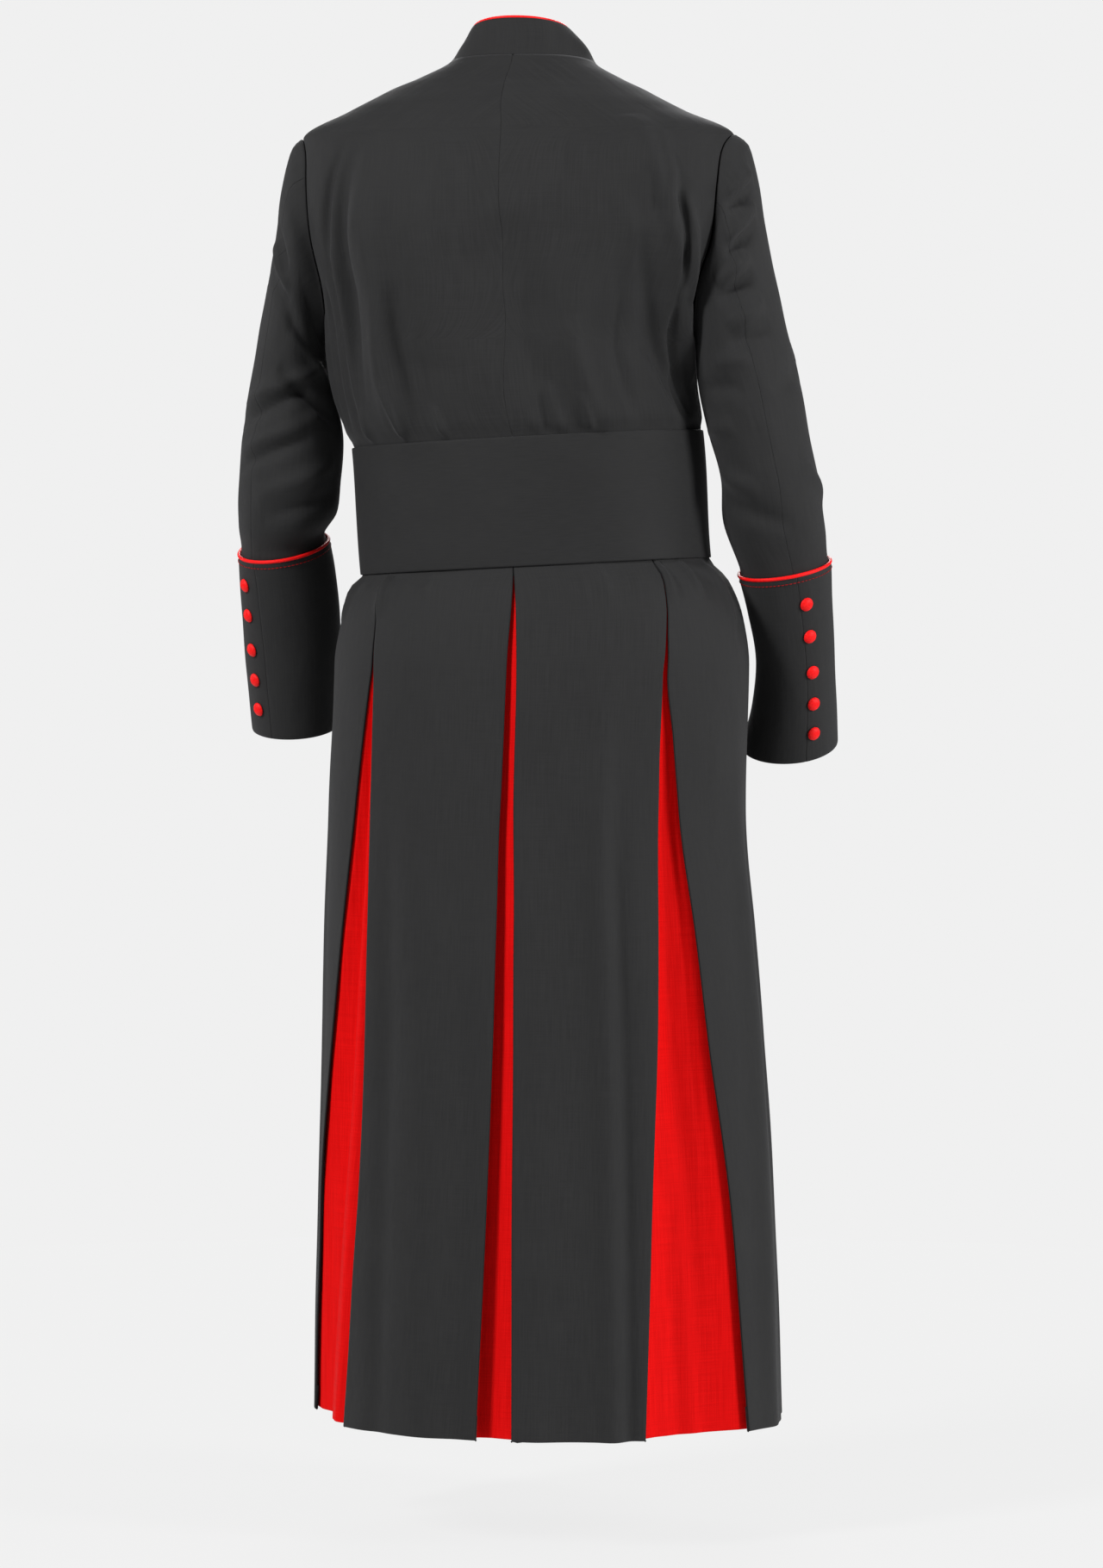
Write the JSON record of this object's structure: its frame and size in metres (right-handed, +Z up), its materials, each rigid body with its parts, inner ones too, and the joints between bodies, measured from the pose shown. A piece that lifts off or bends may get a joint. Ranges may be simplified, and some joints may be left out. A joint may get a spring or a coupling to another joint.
{
  "type": "clergy robe",
  "caption": "Full-length clergy cassock, worn and hollow, with stand collar, turned-back buttoned cuffs, waist band and inverted pleats with red inserts in the back skirt.",
  "frame": {"origin": "at the base of the neck, level with the foot of the collar at the centre back, where the wearer's shoulders hold the robe", "axes": "+Z up, -Y the front, +Y the back, +X the wearer's left"},
  "size_m": [0.6448, 0.4021, 1.4938],
  "materials": {
    "robe_cloth": "smooth charcoal suiting, plain weave, low sheen",
    "band_cloth": "charcoal ribbed weave, low sheen",
    "insert_cloth": "plain red lining cloth, matt",
    "piping": "red corded piping, slight sheen",
    "covered_button": "red cloth over a domed button"
  },
  "bodies": {
    "root": {"bodice_back_left": "robe_cloth", "bodice_back_right": "robe_cloth", "bodice_front_left": "robe_cloth", "bodice_front_right": "robe_cloth", "collar": "robe_cloth", "collar_piping": "piping", "cuff_button_left_1": "covered_button", "cuff_button_left_2": "covered_button", "cuff_button_left_3": "covered_button", "cuff_button_left_4": "covered_button", "cuff_button_left_5": "covered_button", "cuff_button_right_1": "covered_button", "cuff_button_right_2": "covered_button", "cuff_button_right_3": "covered_button", "cuff_button_right_4": "covered_button", "cuff_button_right_5": "covered_button", "cuff_left": "robe_cloth", "cuff_piping_left": "piping", "cuff_piping_right": "piping", "cuff_right": "robe_cloth", "front_button_01": "covered_button", "front_button_02": "covered_button", "front_button_03": "covered_button", "front_button_04": "covered_button", "front_button_05": "covered_button", "front_button_06": "covered_button", "front_button_07": "covered_button", "front_button_08": "covered_button", "front_button_09": "covered_button", "front_button_10": "covered_button", "pleat_centre": "insert_cloth", "pleat_left": "insert_cloth", "pleat_right": "insert_cloth", "skirt_back_left": "robe_cloth", "skirt_back_right": "robe_cloth", "skirt_front_left": "robe_cloth", "skirt_front_right": "robe_cloth", "skirt_side_left": "robe_cloth", "skirt_side_right": "robe_cloth", "sleeve_top_left": "robe_cloth", "sleeve_top_right": "robe_cloth", "sleeve_under_left": "robe_cloth", "sleeve_under_right": "robe_cloth", "waist_band": "band_cloth"}
  },
  "joints": []
}
